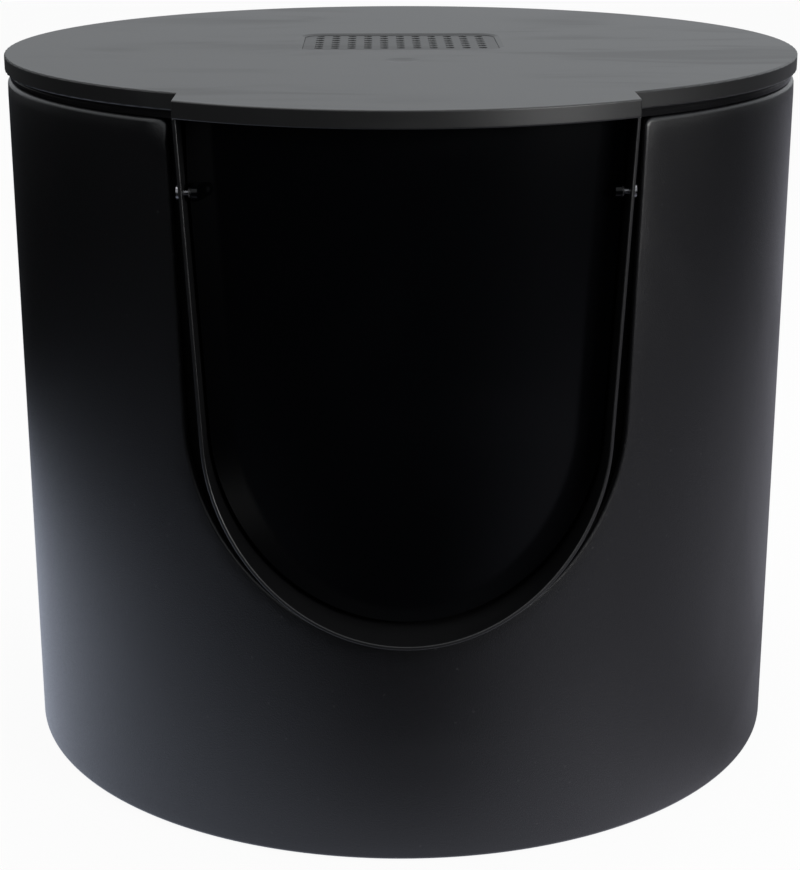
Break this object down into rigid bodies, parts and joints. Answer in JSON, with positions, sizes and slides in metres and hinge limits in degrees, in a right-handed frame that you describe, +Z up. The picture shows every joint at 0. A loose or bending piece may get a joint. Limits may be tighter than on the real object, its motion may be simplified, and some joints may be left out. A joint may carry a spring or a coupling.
{
  "type": "covered litter box",
  "caption": "Round covered litter box: leatherette sleeve, lift-out tub with a U-shaped front doorway and swinging flap, vented lift-off lid with a filter tray.",
  "frame": {"origin": "on the drum's axis, on the underside of the centre foot, at the floor", "axes": "+Z up, the doorway faces -Y, +X to the right of someone who faces the doorway from in front"},
  "size_m": [0.4624, 0.4926, 0.414],
  "materials": {
    "leatherette": "fine-grained satin",
    "sleeve_board": "raw fibreboard",
    "moulded_black": "fine matte moulded",
    "lid_black": "satin moulded",
    "flap_black": "gloss",
    "foot_rubber": "matte",
    "steel": "satin",
    "washer_nylon": "satin",
    "carbon_felt": "felt"
  },
  "bodies": {
    "sleeve": {"sleeve_core": "sleeve_board", "leather_wrap": "leatherette", "base_board": "sleeve_board", "base_screws": "steel", "foot_pad_1": "foot_rubber", "foot_pad_2": "foot_rubber", "foot_pad_3": "foot_rubber", "foot_pad_4": "foot_rubber", "foot_pad_centre": "foot_rubber"},
    "tub": {"tub": "moulded_black", "entry_collar": "moulded_black", "collar_screws": "steel", "sill_magnet": "steel", "pivot_pin_left": "steel", "pivot_pin_right": "steel", "pivot_washer_left": "washer_nylon", "pivot_washer_right": "washer_nylon"},
    "flap": {"flap": "flap_black", "flap_magnet": "steel"},
    "lid": {"lid": "lid_black", "vent_grille": "lid_black"},
    "filter": {"filter_tray": "moulded_black", "carbon_filter": "carbon_felt"}
  },
  "joints": [
    {"name": "tub_lift", "type": "slide", "parent": "sleeve", "child": "tub", "axis": [0, 0, 1], "range_m": [0, 0.4]},
    {"name": "flap_swing", "type": "hinge", "parent": "tub", "child": "flap", "pos_m": [0, -0.217, 0.367], "axis": [1, 0, 0], "range_deg": [-80, 80]},
    {"name": "lid_lift", "type": "slide", "parent": "tub", "child": "lid", "axis": [0, 0, 1], "range_m": [0, 0.15]},
    {"name": "filter_slide", "type": "slide", "parent": "lid", "child": "filter", "axis": [0, 1, 0], "range_m": [0, 0.095]}
  ]
}
